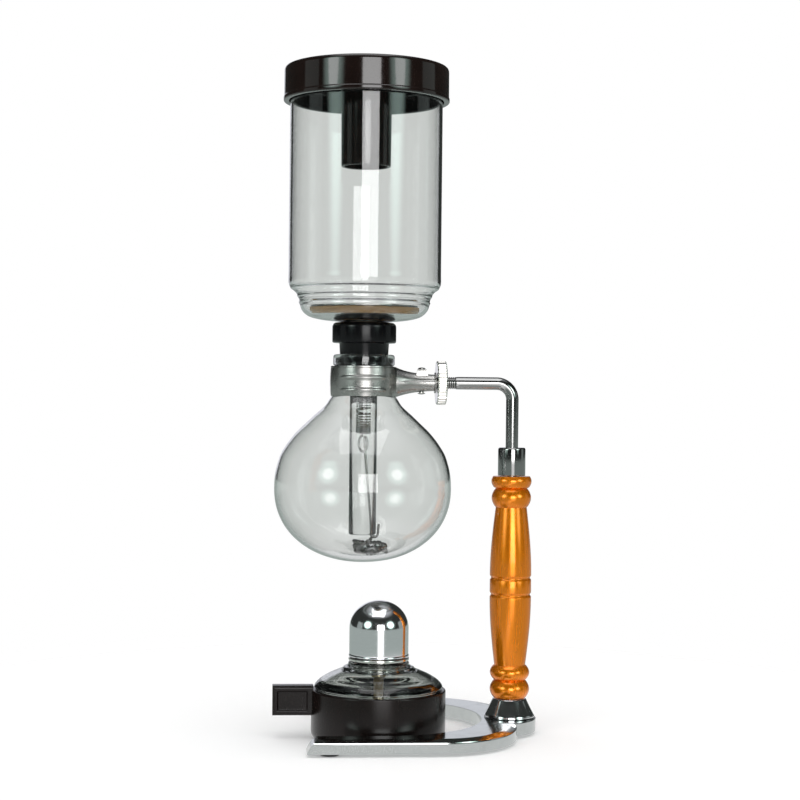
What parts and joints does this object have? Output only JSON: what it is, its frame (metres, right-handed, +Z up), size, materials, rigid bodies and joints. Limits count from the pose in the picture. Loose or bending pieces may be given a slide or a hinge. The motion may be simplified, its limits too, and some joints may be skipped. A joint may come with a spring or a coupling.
{
  "type": "siphon coffee maker",
  "caption": "Vacuum coffee brewer: glass globe clamped to a post on a horseshoe base, a lidded glass bowl plugged into its neck, and a spirit burner underneath.",
  "frame": {"origin": "on the table, at the foot pad under the axis of the post", "axes": "+Z up along the post; the glassware hangs on the -X side; the front prong of the base lies towards -Y"},
  "size_m": [0.1323, 0.1256, 0.332],
  "materials": {
    "chrome": "bright plated, mirror gloss",
    "steel": "pressed stainless, satin bright",
    "nickel": "nickel plated, bright",
    "brass": "plain turned",
    "lacquered_wood": "turned grip under clear orange lacquer, glossy",
    "rubber": "smooth black, satin",
    "dark_plastic": "dark brown, glossy",
    "glass": "clear borosilicate, faint grey-green edges",
    "filter_cloth": "tan woven cloth",
    "cotton": "braided natural cotton"
  },
  "bodies": {
    "stand": {"base_plate": "chrome", "pad_post": "rubber", "pad_front": "rubber", "pad_back": "rubber", "post_foot": "chrome", "tie_bolt": "steel", "handle_grip": "lacquered_wood", "post_ferrule": "chrome", "post_rod": "chrome", "clamp_pin": "steel"},
    "nut_carrier": {"thrust_washer": "steel"},
    "nut": {"thumb_nut": "nickel"},
    "jaw_front": {"clamp_jaw_front": "steel"},
    "jaw_back": {"clamp_jaw_back": "steel"},
    "globe": {"lower_globe": "glass"},
    "upper_glass": {"upper_bowl": "glass", "rubber_stopper": "rubber", "hook_wire": "steel", "bead_chain": "steel"},
    "filter": {"filter_lower_plate": "steel", "filter_cloth": "filter_cloth", "filter_upper_plate": "steel", "filter_stud": "steel", "filter_spring": "steel"},
    "lid_body": {"lid": "dark_plastic"},
    "burner": {"burner_holder": "dark_plastic", "burner_glass": "glass", "wick_collar": "nickel", "wick_tube": "brass"},
    "wick_body": {"wick": "cotton"},
    "snuffer": {"snuffer_cap": "chrome"}
  },
  "joints": [
    {"name": "thumb_nut_turn", "type": "hinge", "parent": "nut_carrier", "child": "nut", "pos_m": [-0.036, 0, 0.175], "axis": [1, 0, 0], "range_deg": [0, 1440]},
    {"name": "nut_travel", "type": "slide", "parent": "stand", "child": "nut_carrier", "axis": [1, 0, 0], "range_m": [0, 0.004]},
    {"name": "jaw_front_swing", "type": "hinge", "parent": "stand", "child": "jaw_front", "pos_m": [-0.046, 0, 0.175], "axis": [0, 0, 1], "range_deg": [0, 5]},
    {"name": "jaw_back_swing", "type": "hinge", "parent": "stand", "child": "jaw_back", "pos_m": [-0.046, 0, 0.175], "axis": [0, 0, 1], "range_deg": [-5, 0]},
    {"name": "globe_turn", "type": "hinge", "parent": "stand", "child": "globe", "pos_m": [-0.075, 0, 0.175], "axis": [0, 0, 1], "continuous": true},
    {"name": "upper_bowl_lift", "type": "slide", "parent": "globe", "child": "upper_glass", "axis": [0, 0, 1], "range_m": [0, 0.105]},
    {"name": "filter_lift", "type": "slide", "parent": "upper_glass", "child": "filter", "axis": [0, 0, 1], "range_m": [0, 0.008], "stiffness_N_per_m": 60, "springref_m": -0.006, "deforming": ["filter_spring"]},
    {"name": "lid_lift", "type": "slide", "parent": "upper_glass", "child": "lid_body", "axis": [0, 0, 1], "range_m": [0, 0.055]},
    {"name": "burner_slide", "type": "slide", "parent": "stand", "child": "burner", "axis": [-1, 0, 0], "range_m": [0, 0.11]},
    {"name": "snuffer_lift", "type": "slide", "parent": "burner", "child": "snuffer", "axis": [0, 0, 1], "range_m": [0, 0.017]},
    {"name": "wick_raise", "type": "slide", "parent": "burner", "child": "wick_body", "axis": [0, 0, 1], "range_m": [0, 0.003]}
  ],
  "couplings": [
    {"joint": "nut_travel", "follows": "thumb_nut_turn", "m_per_rad": 0.00015915},
    {"joint": "jaw_front_swing", "follows": "thumb_nut_turn", "ratio": 0.0034722},
    {"joint": "jaw_back_swing", "follows": "thumb_nut_turn", "ratio": -0.0034722}
  ]
}
